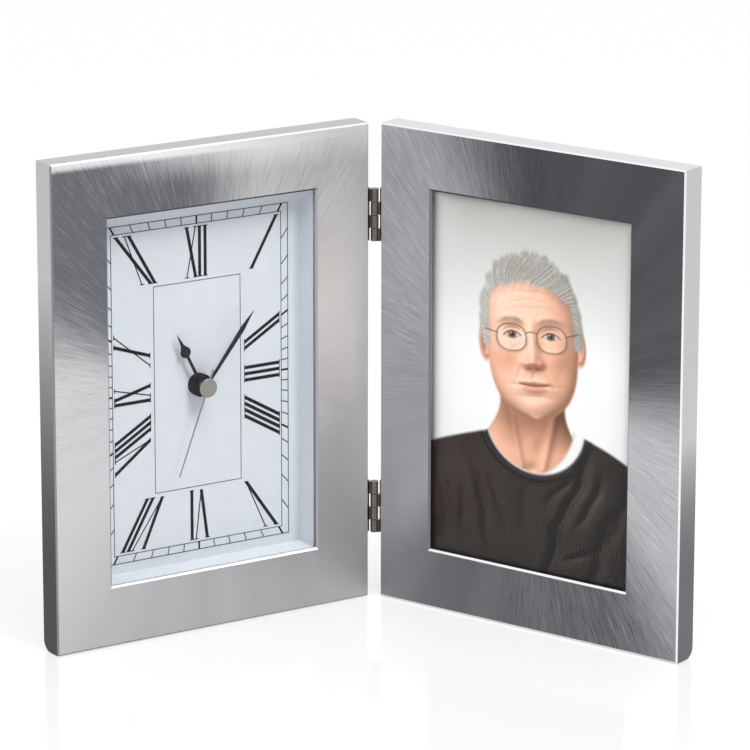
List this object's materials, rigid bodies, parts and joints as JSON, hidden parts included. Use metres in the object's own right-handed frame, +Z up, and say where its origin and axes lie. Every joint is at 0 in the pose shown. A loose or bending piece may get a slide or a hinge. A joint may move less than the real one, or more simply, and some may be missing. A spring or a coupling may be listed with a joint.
{
  "type": "photo frame clock",
  "caption": "Folding desk frame in brushed metal: a quartz clock dial in one hinged wing and a photo in the other, standing open like a book.",
  "frame": {"origin": "middle of the bounding box, on the surface that the two bottom edges stand on", "axes": "+Z up, +X to the viewer's right along the widest extent, viewer on the -Y side; the fold is at the back"},
  "size_m": [0.2536, 0.0926, 0.196],
  "materials": {
    "brushed_shell": "sheet brushed in rays from the window, with polished bevels",
    "black_moulding": "fine moulded texture",
    "pane": "clear picture glass",
    "white_liner": "smooth white styrene",
    "dial_card": "printed matt card",
    "hardboard": "dark hardboard",
    "plated_screw": "bright plated",
    "brass": "turned",
    "cell_sleeve": "plain shrink sleeve",
    "contact_steel": "pressed",
    "coil_wire": "enamelled copper winding",
    "circuit_laminate": "solder mask",
    "black_hand": "satin black",
    "grey_hand": "satin grey",
    "satin_cap": "satin",
    "white_acetal": "moulded",
    "hinge_nickel": "dull nickel plate",
    "photo_paper": "semi-gloss print",
    "grey_card": "plain",
    "clip_steel": "zinc plate"
  },
  "bodies": {
    "clock_wing": {"clock_shell": "brushed_shell", "clock_carrier": "black_moulding", "clock_glass": "pane", "clock_liner": "white_liner", "clock_dial": "dial_card", "clock_back_board": "hardboard", "clock_back_screws": "plated_screw", "movement_case": "black_moulding", "movement_lid": "black_moulding", "threaded_post": "brass", "dial_washer": "brass", "post_nut": "brass", "aa_cell": "cell_sleeve", "contact_plus": "contact_steel", "contact_minus": "contact_steel", "coil": "coil_wire", "stator": "contact_steel", "circuit_board": "circuit_laminate", "clock_leaf_upper": "hinge_nickel", "clock_leaf_lower": "hinge_nickel", "hinge_pin_upper": "hinge_nickel", "hinge_pin_lower": "hinge_nickel", "clock_leaf_screws": "plated_screw"},
    "minute_hand": {"minute_arbor": "brass", "minute_hand": "black_hand"},
    "hour_hand": {"hour_wheel": "brass", "hour_hand": "black_hand"},
    "second_hand": {"second_arbor": "contact_steel", "second_hand": "grey_hand", "hand_cap": "satin_cap"},
    "motion_wheel": {"motion_wheel": "white_acetal"},
    "set_knob": {"set_knob": "black_moulding"},
    "photo_wing": {"photo_shell": "brushed_shell", "photo_carrier": "black_moulding", "photo_glass": "pane", "photo_print": "photo_paper", "backing_card": "grey_card", "photo_back_board": "hardboard", "clip_rivets": "clip_steel", "photo_leaf_upper": "hinge_nickel", "photo_leaf_lower": "hinge_nickel", "photo_leaf_screws": "plated_screw"},
    "clip_upper_inner": {"clip_upper_inner": "clip_steel"},
    "clip_lower_inner": {"clip_lower_inner": "clip_steel"},
    "clip_upper_outer": {"clip_upper_outer": "clip_steel"},
    "clip_lower_outer": {"clip_lower_outer": "clip_steel"}
  },
  "joints": [
    {"name": "wing_fold", "type": "hinge", "parent": "clock_wing", "child": "photo_wing", "pos_m": [0, 0.03832, 0.098], "axis": [0, 0, 1], "range_deg": [-109, 78]},
    {"name": "minute_spin", "type": "hinge", "parent": "clock_wing", "child": "minute_hand", "pos_m": [-0.0687, 0.00483, 0.097], "axis": [-0.5793, 0.8151, 0], "continuous": true},
    {"name": "hour_spin", "type": "hinge", "parent": "clock_wing", "child": "hour_hand", "pos_m": [-0.0687, 0.00483, 0.097], "axis": [-0.5793, 0.8151, 0], "continuous": true},
    {"name": "second_spin", "type": "hinge", "parent": "clock_wing", "child": "second_hand", "pos_m": [-0.0687, 0.00483, 0.097], "axis": [-0.5793, 0.8151, 0], "continuous": true},
    {"name": "motion_spin", "type": "hinge", "parent": "clock_wing", "child": "motion_wheel", "pos_m": [-0.06745, 0.01186, 0.10209], "axis": [-0.5793, 0.8151, 0], "continuous": true},
    {"name": "knob_spin", "type": "hinge", "parent": "clock_wing", "child": "set_knob", "pos_m": [-0.07161, 0.02362, 0.10943], "axis": [-0.5793, 0.8151, 0], "continuous": true},
    {"name": "clip_upper_inner_turn", "type": "hinge", "parent": "photo_wing", "child": "clip_upper_inner", "pos_m": [0.01991, 0.03362, 0.14], "axis": [0.5793, 0.8151, 0], "range_deg": [-90, 90]},
    {"name": "clip_lower_inner_turn", "type": "hinge", "parent": "photo_wing", "child": "clip_lower_inner", "pos_m": [0.01991, 0.03362, 0.056], "axis": [0.5793, 0.8151, 0], "range_deg": [-90, 90]},
    {"name": "clip_upper_outer_turn", "type": "hinge", "parent": "photo_wing", "child": "clip_upper_outer", "pos_m": [0.11112, -0.0312, 0.14], "axis": [0.5793, 0.8151, 0], "range_deg": [-90, 90]},
    {"name": "clip_lower_outer_turn", "type": "hinge", "parent": "photo_wing", "child": "clip_lower_outer", "pos_m": [0.11112, -0.0312, 0.056], "axis": [0.5793, 0.8151, 0], "range_deg": [-90, 90]}
  ],
  "couplings": [
    {"joint": "hour_spin", "follows": "minute_spin", "ratio": 0.083333},
    {"joint": "motion_spin", "follows": "minute_spin", "ratio": -0.33333},
    {"joint": "knob_spin", "follows": "minute_spin", "ratio": 0.66667}
  ]
}
